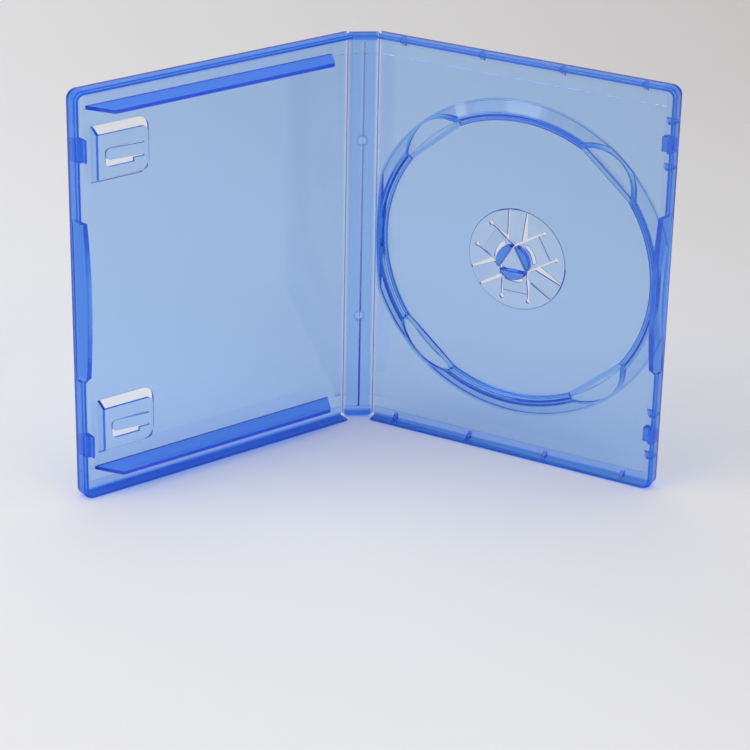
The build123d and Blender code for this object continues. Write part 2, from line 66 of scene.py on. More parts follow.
# The hinges, and the directions and heights that follow from the solids
JOINTS = {joint["name"]: joint for joint in frame["joints"]}
REAR_AXIS = Vector(JOINTS["rear_hinge"]["pos_m"])
FRONT_AXIS = Vector(JOINTS["front_hinge"]["pos_m"])
FOLD = radians(-JOINTS["rear_hinge"]["range_deg"][0])
MM = 0.001
UP = Vector((0.0, 0.0, 1.0))
CASE_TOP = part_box("rear_cover")[1].z
AXIS_INSET = 0.3 * MM
CLOSE = 0.01 * MM
SMOOTH_ANGLE = radians(30.0)

# Where the moulding is thick and takes a painted deeper blue, beyond the blue its depth gives, standing in for light
# guided along it, with the share of that blue where it is in part
SHEET = 1.5 * MM
FOOT = 1.6 * MM
FLANGE = 2.9 * MM
LEDGE_LOW = 12.6 * MM
LEDGE_HIGH = 159.0 * MM
LEDGE_SHARE = 0.85
FREE_EDGE = 125.5 * MM
BORDER_SHARE = 0.45
HUB = Vector((-0.7 * MM, 0.0, 85.5 * MM))
CREST_INNER = 60.4 * MM
CREST_OUTER = 62.7 * MM
CREST_LEVEL = 3.0 * MM
CREST_SHARE = 0.8
MARK_OFFSET = 39.0 * MM
MARK_RIM = 1.9 * MM
MARK_SHARE = 0.6
EASE = 0.4 * MM

# Rim that carries the edge of the disc, in arcs between the finger scallops, in degrees round the hub
SEAT_INNER = 58.95 * MM
SEAT_OUTER = 60.05 * MM
SEAT_FOOT = 1.32 * MM
SEAT_TOP = 2.7 * MM
SEAT_ARCS = ((63.2, 116.8), (144.2, 215.8), (243.2, 296.8), (324.2, 395.8))
SEAT_STEPS = 48
SEAT_ROUND = 0.06 * MM
SEAT_CORNER = radians(40.0)
# Share of the painted shade that lies on all of the rim
SEAT_SHARE = 0.1

# Hinge folds, whose lines are given in shares of the line's width
FOLD_STEPS = 18
WEB_END_GAP = 1.1 * MM
LINE_SHADED = -0.7
LINE_WHITENED = 1.5

# Clear film
FILM_ROWS = 54
FILM_SINK = 0.02 * MM
FILM_FOLD_LEVEL = 0.09 * MM
FILM_FOLD_GAP = 0.02 * MM
FILM_WAVES = 16.0 * MM
WELD_LEVEL = 0.04 * MM

# Finishes
PLASTIC_IOR = 1.49
WHITE = (1.0, 1.0, 1.0)
SHEET_PALE = (0.99, 0.995, 1.0)
SHEET_STREAK = (0.95, 0.975, 1.0)
SHADOW_TINT = (0.985, 0.99, 1.0)
CREASE_WHITE = (0.9, 0.96, 1.0)
FILM_TINT = (0.98, 0.99, 1.0)
WELD_TINT = (0.95, 0.97, 1.0)

# Stage
PAPER_SIZE = (6.0, 3.6)
PAPER_NEAR = -0.6
PAPER_TALL = 3.0
PAPER_BEND = 0.7
PAPER_BEND_STEPS = 24
PAPER_CLOSE = 0.1 * MM
# Where the painted shade on the paper starts and where it is full, along the way toward the far right
PAPER_FALL = (-0.12, 0.55)
SKY_COLOUR = (0.95, 0.97, 1.0)
SKY_STRENGTH = 0.50
LAMP_AIM = Vector((0.0, -0.04, 0.08))
LAMPS = (
    ("key_softbox", (-0.9, -1.1, 1.6), (1.4, 1.4), 13.0),
    ("fill_softbox", (1.5, -0.6, 1.2), (1.2, 1.2), 7.5),
    ("top_softbox", (0.0, 0.2, 1.9), (1.6, 1.6), 13.0),
    ("strip_softbox", (-0.62, -1.22, 0.56), (1.2, 0.2), 2.2),
)
SENSOR = 36.0
CAMERA_REACH = 20.0


class Leaf:
    """Outer face of a cover or of the spine: across from its hinge, up, and inward from the outer face."""

    def __init__(self, axis, turn):
        spun = Matrix.Rotation(turn, 3, "Z")
        self.across = spun @ Vector((1.0, 0.0, 0.0))
        self.inward = spun @ Vector((0.0, -1.0, 0.0))
        self.foot = Vector((axis.x, axis.y, 0.0)) - self.inward * AXIS_INSET

    def point(self, across, up, inward):
        return self.foot + self.across * across + UP * up + self.inward * inward

    def matrix(self, across, up, inward):
        return placed((self.across, UP, self.inward), self.point(across, up, inward))

    def local(self, place):
        return self.matrix(0.0, 0.0, 0.0).inverted() @ place

    def span(self, node):
        """Corners of a solid in this leaf's own directions."""
        places = [self.local(vertex.co) for vertex in frame["nodes"][node].data.vertices]
        low = Vector([min(place[axis] for place in places) for axis in range(3)])
        high = Vector([max(place[axis] for place in places) for axis in range(3)])
        return low, high


def placed(directions, place):
    """Matrix that turns the three axes to the directions and moves to the place."""
    turned = Matrix(directions).transposed().to_4x4()
    turned.translation = place
    return turned


REAR = Leaf(REAR_AXIS, 0.0)
SPINE = Leaf(REAR_AXIS, FOLD)
FRONT = Leaf(FRONT_AXIS, 2 * FOLD)
SPINE_PITCH = (REAR_AXIS - FRONT_AXIS).length


class Wire:
    """One socket of a node tree, so that shader maths reads as an expression."""

    def __init__(self, paint, socket):
        self.paint = paint
        self.socket = socket

    def _math(self, operation, first, second):
        made = self.paint.node("ShaderNodeMath", {"operation": operation}, {0: first, 1: second})
        return Wire(self.paint, made.outputs[0])

    def __add__(self, other):
        return self._math("ADD", self, other)

    def __radd__(self, other):
        return self._math("ADD", other, self)

    def __sub__(self, other):
        return self._math("SUBTRACT", self, other)

    def __rsub__(self, other):
        return self._math("SUBTRACT", other, self)

    def __mul__(self, other):
        return self._math("MULTIPLY", self, other)

    def __rmul__(self, other):
        return self._math("MULTIPLY", other, self)

    def __pow__(self, other):
        return self._math("POWER", self, other)

    def __gt__(self, other):
        return self._math("GREATER_THAN", self, other)

    def ramp(self, low, high):
        """Nought at low, one at high, straight between and level beyond."""
        scaled = (self - low) * (1.0 / (high - low))
        return self._math("MINIMUM", self._math("MAXIMUM", scaled, 0.0), 1.0)


class Paint:
    """A material under construction."""

    def __init__(self, name):
        self.material = bpy.data.materials.new(name)
        self.material.use_nodes = True
        self.tree = self.material.node_tree
        self.tree.nodes.clear()
        self.output = self.node("ShaderNodeOutputMaterial")

    def node(self, kind, settings=None, values=None):
        made = self.tree.nodes.new(kind)
        for key, value in (settings or {}).items():
            setattr(made, key, value)
        for key, value in (values or {}).items():
            if isinstance(value, Wire):
                self.tree.links.new(value.socket, made.inputs[key])
            else:
                made.inputs[key].default_value = value
        return made

    def wire(self, kind, output, settings=None, values=None):
        return Wire(self, self.node(kind, settings, values).outputs[output])

    def place(self):
        return self.wire("ShaderNodeTexCoord", "Object")

    def along(self, direction, origin=Vector()):
        """Distance of a place from an origin, measured along a direction."""
        measured = self.wire(
            "ShaderNodeVectorMath",
            "Value",
            {"operation": "DOT_PRODUCT"},
            {0: self.place(), 1: tuple(direction)},
        )
        return measured - direction.dot(origin)

    def noise(self, scale, detail):
        values = {"Vector": self.place(), "Scale": scale, "Detail": detail}
        return self.wire("ShaderNodeTexNoise", "Fac", None, values)

    def bump(self, strength, distance, height):
        values = {"Strength": strength, "Distance": distance, "Height": height}
        return self.wire("ShaderNodeBump", "Normal", None, values)

    def principled(self, **values):
        """A Principled shader, with the sockets named as words joined by underscores."""
        named = {key.replace("_", " "): value for key, value in values.items()}
        return self.wire("ShaderNodeBsdfPrincipled", "BSDF", None, named)

    def through(self, colour):
        return self.wire("ShaderNodeBsdfTransparent", "BSDF", None, {"Color": rgba(colour)})

    def mix(self, factor, first, second):
        values = {0: factor, 6: first, 7: second}
        return self.wire("ShaderNodeMix", 2, {"data_type": "RGBA"}, values)

    def blend(self, factor, first, second):
        return self.wire("ShaderNodeMixShader", "Shader", None, {0: factor, 1: first, 2: second})

    def finish(self, surface, volume=None):
        self.tree.links.new(surface.socket, self.output.inputs["Surface"])
        if volume:
            self.tree.links.new(volume.socket, self.output.inputs["Volume"])
        return self.material


def rgba(colour):
    return (colour[0], colour[1], colour[2], 1.0)


def thick_foot(paint):
    """The foot that the case stands on."""
    return paint.along(UP).ramp(FOOT + EASE, FOOT)


def from_hub(paint):
    """Distance from the axis of the disc."""
    up = paint.along(UP, HUB)
    side = paint.along(REAR.across, HUB)
    return (up * up + side * side) ** 0.5


def thick_rear(paint):
    """The rear cover's foot, and in part its top edge, its free edge and the crest of its disc ring."""
    rise = paint.along(UP)
    depth = paint.along(REAR.inward, REAR.foot)
    top_edge = rise.ramp(CASE_TOP - FOOT - EASE, CASE_TOP - FOOT)
    free_edge = paint.along(REAR.across, REAR.foot).ramp(FREE_EDGE - EASE, FREE_EDGE)
    borders = depth.ramp(SHEET, SHEET + EASE) * (top_edge + free_edge)
    out = from_hub(paint)
    ring = out.ramp(CREST_INNER - EASE, CREST_INNER) * out.ramp(CREST_OUTER + EASE, CREST_OUTER)
    crest = ring * depth.ramp(CREST_LEVEL - EASE, CREST_LEVEL)
    return thick_foot(paint) + BORDER_SHARE * borders + CREST_SHARE * crest


def thick_rim(paint):
    """Where the rim takes painted shade: its inner wall, and a little of all the rim."""
    inner_wall = from_hub(paint).ramp(SEAT_INNER + EASE, SEAT_INNER + EASE / 2)
    return SEAT_SHARE + (1.0 - SEAT_SHARE) * inner_wall


def thick_spine(paint):
    """The spine's two end flanges, and in part the rims of its two round marks."""
    rise = paint.along(UP)
    ends = rise.ramp(FLANGE + EASE, FLANGE) + rise.ramp(CASE_TOP - FLANGE - EASE, CASE_TOP - FLANGE)
    from_middle = rise - CASE_TOP / 2
    up = (from_middle * from_middle) ** 0.5 - MARK_OFFSET
    side = paint.along(SPINE.across, SPINE.foot) + SPINE_PITCH / 2
    out = (up * up + side * side) ** 0.5
    rim = out.ramp(MARK_RIM - EASE, MARK_RIM) * out.ramp(MARK_RIM + 2 * EASE, MARK_RIM + EASE)
    return ends + MARK_SHARE * rim


def thick_front(paint):
    """The front cover's foot, and for the most part its ledges and its free edge."""
    rise = paint.along(UP)
    ledges = rise.ramp(LEDGE_LOW + EASE, LEDGE_LOW) + rise.ramp(LEDGE_HIGH - EASE, LEDGE_HIGH)
    free_edge = paint.along(FRONT.across, FRONT.foot).ramp(EASE - FREE_EDGE, -FREE_EDGE)
    inside = paint.along(FRONT.inward, FRONT.foot).ramp(SHEET, SHEET + EASE)
    return thick_foot(paint) + LEDGE_SHARE * inside * (ledges + free_edge)


def blue_plastic(look, name, thick, painted_wall_tint):
    """Polished clear plastic, pale through its sheets and deep blue along its edges. Its depth gives part of that
    blue. The rest is painted: a deeper tint and a blue glow on the thick walls, and an emitted glow where light is
    caught inside.
    """
    paint = Paint(name)
    flow = paint.noise(scale=18.0, detail=3.0)
    grain = paint.noise(scale=140.0, detail=2.0)
    # Painted deeper blue: the thick walls and ledges take the wall tint, standing in for light guided along them
    walls = thick(paint).ramp(0.0, 1.0)
    sheet = paint.mix(flow, rgba(SHEET_PALE), rgba(SHEET_STREAK))
    clear = paint.principled(
        Base_Color=paint.mix(walls, sheet, rgba(painted_wall_tint)),
        Roughness=look.plastic_roughness + 0.04 * grain,
        IOR=PLASTIC_IOR,
        Transmission_Weight=1.0,
        Normal=paint.bump(strength=0.06, distance=0.2 * MM, height=flow),
    )
    # Painted glow: the thick walls scatter a deep blue that stands in for light guided along them
    cloudy = paint.principled(
        Base_Color=paint.mix(walls, rgba(look.haze_colour), rgba(look.painted_wall_glow)),
        Roughness=0.4,
        Specular_IOR_Level=0.0,
    )
    milky = paint.blend(look.plastic_haze + look.painted_glow_share * walls, clear, cloudy)
    # Painted glow: a ray past a few turns inside the plastic ends in deep blue emission, standing in for light
    # caught inside it
    caught = paint.wire("ShaderNodeLightPath", "Ray Depth") > look.edge_bounces
    edge = paint.wire(
        "ShaderNodeEmission",
        "Emission",
        None,
        {"Color": rgba(look.painted_edge_glow), "Strength": 1.0},
    )
    shadow = paint.wire("ShaderNodeLightPath", "Is Shadow Ray")
    surface = paint.blend(shadow, paint.blend(caught, milky, edge), paint.through(SHADOW_TINT))
    depth = paint.wire(
        "ShaderNodeVolumeAbsorption",
        "Volume",
        None,
        {"Color": rgba(look.plastic_depth), "Density": look.plastic_density},
    )
    return paint.finish(surface, depth)


def flexed_plastic(look):
    """The same plastic where it is thin and flexed: pale and slightly whitened."""
    paint = Paint("flexed_plastic")
    crease = paint.noise(scale=900.0, detail=3.0)
    shader = paint.principled(
        Base_Color=paint.mix(crease, rgba(look.fold_colour), rgba(CREASE_WHITE)),
        Roughness=0.25 + 0.2 * crease,
        IOR=PLASTIC_IOR,
        Transmission_Weight=0.1,
    )
    return paint.finish(shader)


def thin_plastic(name, colour):
    """Plastic too thin to take colour from its depth, tinted through and through."""
    paint = Paint(name)
    flow = paint.noise(scale=300.0, detail=2.0)
    shade = tuple(0.9 * channel for channel in colour)
    shader = paint.principled(
        Base_Color=paint.mix(flow, rgba(colour), rgba(shade)),
        Roughness=0.05 + 0.1 * flow,
        IOR=PLASTIC_IOR,
        Transmission_Weight=1.0,
    )
    return paint.finish(shader)


def clear_film(look):
    """Thin clear film with fine wrinkles that glint."""
    paint = Paint("sleeve_film")
    wrinkle = paint.noise(scale=260.0, detail=4.0)
    haze = paint.noise(scale=60.0, detail=2.0)
    bump = paint.bump(strength=0.35, distance=0.3 * MM, height=wrinkle)
    glint = paint.principled(
        Base_Color=rgba(WHITE),
        Metallic=1.0,
        Roughness=look.film_roughness + 0.08 * haze,
        Normal=bump,
    )
    gloss = paint.wire("ShaderNodeFresnel", "Fac", None, {"IOR": 1.3, "Normal": bump})
    return paint.finish(paint.blend(0.6 * gloss, paint.through(FILM_TINT), glint))


def film_weld(look):
    """The weld along the edges of the film: bright dashes where the film is pressed to the plastic."""
    paint = Paint("film_weld")
    dash = paint.noise(scale=look.weld_grain, detail=1.0).ramp(0.47, 0.53)
    pressed = paint.principled(Base_Color=rgba(WHITE), Metallic=1.0, Roughness=0.12 + 0.1 * dash)
    return paint.finish(paint.blend(0.9 * dash, paint.through(WELD_TINT), pressed))


def studio_paper(look):
    """Pale seamless paper under and behind the case, with painted shade that darkens it a little toward the far
    right.
    """
    paint = Paint("studio_paper")
    grain = paint.noise(scale=40.0, detail=3.0)
    turn = look.camera_azimuth
    far_right = Vector((cos(turn) - 0.5 * sin(turn), sin(turn) + 0.5 * cos(turn), 0.0))
    fall = paint.along(far_right).ramp(*PAPER_FALL)
    shader = paint.principled(
        Base_Color=paint.mix(fall + 0.02 * grain, rgba(look.paper_colour), rgba(look.paper_shade)),
        Roughness=0.85,
        Specular_IOR_Level=0.2,
    )
    return paint.finish(shader)


def dress(objects, material):
    for piece in objects:
        piece.data.materials.clear()
        piece.data.materials.append(material)


def start():
    """Leaves object mode with nothing selected, so that the next primitive stands alone."""
    if bpy.context.mode != "OBJECT":
        bpy.ops.object.mode_set(mode="OBJECT")
    bpy.ops.object.select_all(action="DESELECT")


def lay(piece, matrix):
    """Puts a new primitive in its place, with the place in its mesh."""
    piece.matrix_world = matrix
    bpy.ops.object.transform_apply(location=True, rotation=True, scale=True)


def shape(piece, kind, **settings):
    """Adds a modifier with its settings and applies it."""
    modifier = piece.modifiers.new(kind.lower(), kind)
    for key, value in settings.items():
        setattr(modifier, key, value)
    bpy.ops.object.modifier_apply(modifier=modifier.name)


def made(name):
    """The new piece, with its place in its mesh and its object at the origin."""
    if bpy.context.mode != "OBJECT":
        bpy.ops.object.mode_set(mode="OBJECT")
    piece = bpy.context.active_object
    piece.name = name
    piece.data.name = name
    bpy.ops.object.transform_apply(location=True, rotation=True, scale=True)
    return piece


def swept(section, size, centre, axis, angle, steps):
    """Spins a flat section about an axis into a closed bar."""
    start()
    bpy.ops.mesh.primitive_plane_add(size=1.0)
    piece = bpy.context.active_object
    lay(piece, section @ Matrix.Diagonal((size[0], size[1], 1.0, 1.0)))
    bpy.ops.object.mode_set(mode="EDIT")
    bpy.ops.mesh.select_all(action="SELECT")
    bpy.ops.mesh.spin(steps=steps, angle=-angle, center=centre, axis=axis)
    bpy.ops.mesh.select_all(action="SELECT")
    bpy.ops.mesh.remove_doubles(threshold=1e-7)
    bpy.ops.mesh.select_all(action="DESELECT")
    bpy.ops.mesh.select_non_manifold()
    bpy.ops.mesh.edge_face_add()
    bpy.ops.mesh.select_all(action="SELECT")
    bpy.ops.mesh.normals_make_consistent(inside=False)
    bpy.ops.object.mode_set(mode="OBJECT")
    return piece


class CaseLook(bpy.types.PropertyGroup):
    """Sizes and colours of the dressed case."""

    plastic_depth: bpy.props.FloatVectorProperty(
        name="Plastic depth colour",
        description="Colour that thick plastic goes to",
        subtype="COLOR",
        default=(0.0, 0.48, 0.98),
        min=0.0,
        max=1.0,
    )
    plastic_density: bpy.props.FloatProperty(
        name="Plastic density",
        description="How fast the plastic takes its depth colour, per metre",
        default=560.0,
        min=0.0,
    )
    plastic_roughness: bpy.props.FloatProperty(
        name="Plastic roughness",
        description="Roughness of the polished plastic",
        subtype="FACTOR",
        default=0.02,
        min=0.0,
        max=1.0,
    )
    plastic_haze: bpy.props.FloatProperty(
        name="Plastic haze",
        description="Share of the light that the plastic scatters",
        subtype="FACTOR",
        default=0.05,
        min=0.0,
        max=1.0,
    )
    haze_colour: bpy.props.FloatVectorProperty(
        name="Haze colour",
        description="Colour of the light that the plastic scatters",
        subtype="COLOR",
        default=(0.28, 0.62, 1.0),
        min=0.0,
        max=1.0,
    )
    # Painted deeper blue on the thick walls and ledges, beyond the blue their depth gives
    painted_wall_tint: bpy.props.FloatVectorProperty(
        name="Wall colour",
        description="Tint that the thick walls and ledges add",
        subtype="COLOR",
        default=(0.68, 0.89, 1.0),
        min=0.0,
        max=1.0,
    )
    # Painted shade: a dark blue line on the inner wall of the disc's rim
    painted_rim_shade: bpy.props.FloatVectorProperty(
        name="Rim colour",
        description="Tint that the inner wall of the disc's rim adds",
        subtype="COLOR",
        default=(0.22, 0.46, 0.9),
        min=0.0,
        max=1.0,
    )
    # Share of the painted blue glow on the thick walls and ledges
    painted_glow_share: bpy.props.FloatProperty(
        name="Wall haze",
        description="Share of the light that the thick walls and ledges scatter beyond the sheets",
        subtype="FACTOR",
        default=0.2,
        min=0.0,
        max=1.0,
    )
    # Painted glow colour on the thick walls and ledges
    painted_wall_glow: bpy.props.FloatVectorProperty(
        name="Glow colour",
        description="Colour of the light that the thick walls and ledges scatter",
        subtype="COLOR",
        default=(0.04, 0.25, 0.85),
        min=0.0,
        max=1.0,
    )
    # Painted glow: emitted deep blue that stands in for light caught inside the plastic at its edges
    painted_edge_glow: bpy.props.FloatVectorProperty(
        name="Edge colour",
        description="Light that is caught inside the plastic and shows at its edges",
        subtype="COLOR",
        default=(0.01, 0.09, 0.36),
        min=0.0,
        max=1.0,
    )
    edge_bounces: bpy.props.FloatProperty(
        name="Edge bounces",
        description="Turns inside the plastic after which light counts as caught",
        default=5.5,
        min=1.0,
    )
    film_roughness: bpy.props.FloatProperty(
        name="Film roughness",
        description="Roughness of the clear sleeve",
        subtype="FACTOR",
        default=0.03,
        min=0.0,
        max=1.0,
    )
    film_thickness: bpy.props.FloatProperty(
        name="Film thickness",
        description="Thickness of the clear sleeve",
        subtype="DISTANCE",
        unit="LENGTH",
        default=0.06 * MM,
    )
    film_ripple: bpy.props.FloatProperty(
        name="Film ripple",
        description="Height of the waves in the clear sleeve",
        subtype="DISTANCE",
        unit="LENGTH",
        default=0.04 * MM,
    )
    weld_width: bpy.props.FloatProperty(
        name="Weld width",
        description="Width of the weld along the edges of the sleeve",
        subtype="DISTANCE",
        unit="LENGTH",
        default=0.18 * MM,
    )
    weld_grain: bpy.props.FloatProperty(
        name="Weld grain",
        description="How finely the weld is broken into dashes",
        default=420.0,
        min=1.0,
    )
    web_thickness: bpy.props.FloatProperty(
        name="Hinge thickness",
        description="Thickness of the flexible hinge lines",
        subtype="DISTANCE",
        unit="LENGTH",
        default=0.38 * MM,
    )
    web_reach: bpy.props.FloatProperty(
        name="Hinge reach",
        description="Half width of a hinge line",
        subtype="DISTANCE",
        unit="LENGTH",
        default=0.68 * MM,
    )
    line_width: bpy.props.FloatProperty(
        name="Fold line",
        description="Width of the whitened line along a hinge, and of the dark line beside it",
        subtype="DISTANCE",
        unit="LENGTH",
        default=0.42 * MM,
    )
    fold_colour: bpy.props.FloatVectorProperty(
        name="Fold colour",
        description="Colour of the whitened line along a hinge",
        subtype="COLOR",
        default=(0.82, 0.90, 1.0),
        min=0.0,
        max=1.0,
    )
    fold_tint: bpy.props.FloatVectorProperty(
        name="Fold tint",
        description="Colour of the thin plastic beside a hinge line",
        subtype="COLOR",
        default=(0.40, 0.60, 0.92),
        min=0.0,
        max=1.0,
    )
    # Painted shade: the dark line beside a hinge line
    fold_shade: bpy.props.FloatVectorProperty(
        name="Fold shade",
        description="Colour of the dark line beside a hinge line",
        subtype="COLOR",
        default=(0.08, 0.20, 0.66),
        min=0.0,
        max=1.0,
    )
    paper_colour: bpy.props.FloatVectorProperty(
        name="Paper colour",
        description="Colour of the floor and the backdrop",
        subtype="COLOR",
        default=(0.73, 0.725, 0.73),
        min=0.0,
        max=1.0,
    )
    # Painted shade: the colour the paper darkens to toward the far right
    paper_shade: bpy.props.FloatVectorProperty(
        name="Paper shade",
        description="Colour that the paper falls to at the far right",
        subtype="COLOR",
        default=(0.55, 0.53, 0.52),
        min=0.0,
        max=1.0,
    )
    camera_place: bpy.props.FloatVectorProperty(
        name="Camera place",
        description="Where the camera stands",
        subtype="TRANSLATION",
        unit="LENGTH",
        default=(0.42995, -0.9277, 0.5031),
    )
    camera_azimuth: bpy.props.FloatProperty(
        name="Camera azimuth",
        description="Direction of view round the case",
        subtype="ANGLE",
        default=radians(28.0),
    )
    camera_pitch: bpy.props.FloatProperty(
        name="Camera pitch",
        description="How far the camera looks down",
        subtype="ANGLE",
        default=radians(24.68),
    )
    camera_roll: bpy.props.FloatProperty(
        name="Camera roll",
        description="Turn of the picture about the line of sight",
        subtype="ANGLE",
        default=radians(1.146),
    )
    camera_lens: bpy.props.FloatProperty(
        name="Camera lens",
        description="Focal length on a 36 mm sensor",
        default=131.09,
        min=1.0,
    )


class CASE_OT_plastic(bpy.types.Operator):
    """Gives the moulded solids their clear blue plastic"""

    bl_idname = "case.plastic"
    bl_label = "Blue plastic"

    def execute(self, context):
        look = context.scene.case_look
        rear = blue_plastic(look, "case_plastic_rear", thick_rear, look.painted_wall_tint)
        spine = blue_plastic(look, "case_plastic_spine", thick_spine, look.painted_wall_tint)
        front = blue_plastic(look, "case_plastic_front", thick_front, look.painted_wall_tint)
        for name, node in frame["nodes"].items():
            if not name.startswith("sleeve"):
                dress([node], {"spine": spine, "front_cover": front}.get(name, rear))
        return {"FINISHED"}


class CASE_OT_seat_rim(bpy.types.Operator):
    """Runs the narrow rim that carries the edge of the disc between the finger scallops"""

    bl_idname = "case.seat_rim"
    bl_label = "Seat rim"

    def execute(self, context):
        look = context.scene.case_look
        arcs = [self.arc(radians(first), radians(last)) for first, last in SEAT_ARCS]
        start()
        for arc in arcs:
            arc.select_set(True)
        bpy.ops.object.join()
        shape(
            bpy.context.active_object,
            "BEVEL",
            width=SEAT_ROUND,
            segments=2,
            limit_method="ANGLE",
            angle_limit=SEAT_CORNER,
        )
        piece = made("disc_seat_rim")
        bpy.ops.object.shade_smooth_by_angle(angle=SMOOTH_ANGLE)
        # The rim's inner wall takes painted shade
        dress([piece], blue_plastic(look, "case_plastic_rim", thick_rim, look.painted_rim_shade))
        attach(piece, "rear_cover")
        return {"FINISHED"}

    def arc(self, first, last):
        centre = Vector((HUB.x, REAR.foot.y, HUB.z))
        size = (SEAT_OUTER - SEAT_INNER, SEAT_TOP - SEAT_FOOT)
        out = REAR.across * cos(first) + UP * sin(first)
        middle = centre + out * (SEAT_INNER + SEAT_OUTER) / 2 + REAR.inward * (SEAT_FOOT + SEAT_TOP) / 2
        section = placed((out, REAR.inward, out.cross(REAR.inward)), middle)
        return swept(section, size, centre, REAR.inward, last - first, SEAT_STEPS)


class CASE_OT_sleeve(bpy.types.Operator):
    """Lays the rippled film on the three outer faces, with a weld along its upper and lower edges"""

    bl_idname = "case.sleeve"
    bl_label = "Clear sleeve"

    def execute(self, context):
        look = context.scene.case_look
        film = clear_film(look)
        weld = film_weld(look)
        for place, leaf, body, columns in (
            ("rear", REAR, "rear_cover", 44),
            ("front", FRONT, "front_cover", 44),
            ("spine", SPINE, "spine", 6),
        ):
            self.sheet(place, leaf, body, columns, look, film, weld)
        return {"FINISHED"}

    def sheet(self, place, leaf, body, columns, look, film, weld):
        node = "sleeve_" + place
        low, high = leaf.span(node)
        middle = (low + high) / 2
        middle.z = high.z - FILM_SINK
        wide, tall = high.x - low.x, high.y - low.y
        weld_low, weld_high = low.y + look.weld_width, high.y - look.weld_width
        start()
        bpy.ops.mesh.primitive_grid_add(x_subdivisions=columns, y_subdivisions=FILM_ROWS, size=1.0)
        piece = bpy.context.active_object
        lay(piece, leaf.matrix(*middle) @ Matrix.Diagonal((wide, tall, 1.0, 1.0)))
        bpy.ops.object.mode_set(mode="EDIT")
        for height in (weld_low, weld_high):
            bpy.ops.mesh.select_all(action="SELECT")
            bpy.ops.mesh.bisect(plane_co=(0.0, 0.0, height), plane_no=UP)
        self.lower(piece, leaf, 1, (low.y, high.y), low.z + WELD_LEVEL - middle.z)
        self.lower(piece, leaf, 0, (low.x, high.x), FILM_FOLD_LEVEL - middle.z)
        bpy.ops.object.mode_set(mode="OBJECT")
        waves = bpy.data.textures.new("film_waves", "CLOUDS")
        waves.noise_scale = FILM_WAVES
        shape(
            piece,
            "DISPLACE",
            texture=waves,
            texture_coords="GLOBAL",
            strength=look.film_ripple,
            mid_level=0.5,
        )
        shape(piece, "SOLIDIFY", thickness=look.film_thickness, offset=0.0)
        piece = made("film_" + place)
        bpy.ops.object.shade_smooth_by_angle(angle=SMOOTH_ANGLE)
        dress([piece, frame["nodes"][node]], film)
        piece.data.materials.append(weld)
        for face in piece.data.polygons:
            face.material_index = int(not weld_low < face.center.z < weld_high)
        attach(piece, body)
        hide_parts(node)

    def lower(self, piece, leaf, axis, edges, step):
        """Moves the sheet's two edges along one axis toward the outer face."""
        bpy.ops.mesh.select_all(action="DESELECT")
        bpy.ops.mesh.select_mode(type="VERT")
        bpy.ops.object.mode_set(mode="OBJECT")
        for vertex in piece.data.vertices:
            place = leaf.local(vertex.co)
            at_edge = min(abs(place[axis] - edge) for edge in edges) < CLOSE
            vertex.select = at_edge and place.z > FILM_FOLD_LEVEL + CLOSE
        bpy.ops.object.mode_set(mode="EDIT")
        bpy.ops.transform.translate(value=leaf.inward * step)


class CASE_OT_hinge_folds(bpy.types.Operator):
    """Bends a thin web round each hinge axis, and the film round the outside of the web"""

    bl_idname = "case.hinge_folds"
    bl_label = "Hinge folds"

    def execute(self, context):
        look = context.scene.case_look
        tinted = thin_plastic("hinge_plastic", look.fold_tint)
        whitened = flexed_plastic(look)
        shaded = thin_plastic("hinge_shade", look.fold_shade)
        film = bpy.data.materials["sleeve_film"]
        low, high = REAR.span("sleeve_rear")
        web_size = (CASE_TOP - 2 * WEB_END_GAP, look.web_thickness)
        web_level = 2 * AXIS_INSET - look.web_thickness / 2 - CLOSE
        film_size = (high.y - low.y, look.film_thickness)
        film_reach = low.x - FILM_FOLD_GAP
        for place, leaf, far, hinge, cover_side, bodies in (
            ("rear", REAR, SPINE, 0.0, 1.0, ("rear_cover", "spine")),
            ("front", SPINE, FRONT, -SPINE_PITCH, -1.0, ("spine", "front_cover")),
        ):
            piece = self.fold("hinge_fold_" + place, leaf, far, hinge, look.web_reach, web_level, web_size, bodies)
            dress([piece], tinted)
            piece.data.materials.append(whitened)
            piece.data.materials.append(shaded)
            axis = leaf.point(hinge, 0.0, AXIS_INSET)
            toward_cover = (leaf.across + far.across).normalized() * cover_side
            for face in piece.data.polygons:
                reach = (face.center - axis).dot(toward_cover)
                if LINE_SHADED * look.line_width < reach < LINE_WHITENED * look.line_width:
                    # Whitened faces on the cover's side, and on the other side a painted shade as a dark line
                    face.material_index = 1 if reach > 0.0 else 2
            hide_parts(place + "_hinge_web")
            piece = self.fold("film_fold_" + place, leaf, far, hinge, film_reach, FILM_FOLD_LEVEL, film_size, bodies)
            dress([piece], film)
        return {"FINISHED"}

    def fold(self, name, leaf, far, hinge, reach, level, size, bodies):
        across = hinge + reach
        bend = reach / tan(FOLD / 2)
        section = placed((UP, leaf.inward, leaf.across), leaf.point(across, CASE_TOP / 2, level))
        swept(section, size, leaf.point(across, 0.0, AXIS_INSET + bend), UP, FOLD, FOLD_STEPS)
        piece = made(name)
        bpy.ops.object.shade_smooth_by_angle(angle=SMOOTH_ANGLE)
        leaf.point(across, 0.0, level)
        far.point(-reach, 0.0, level)
        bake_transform(piece)
        return piece


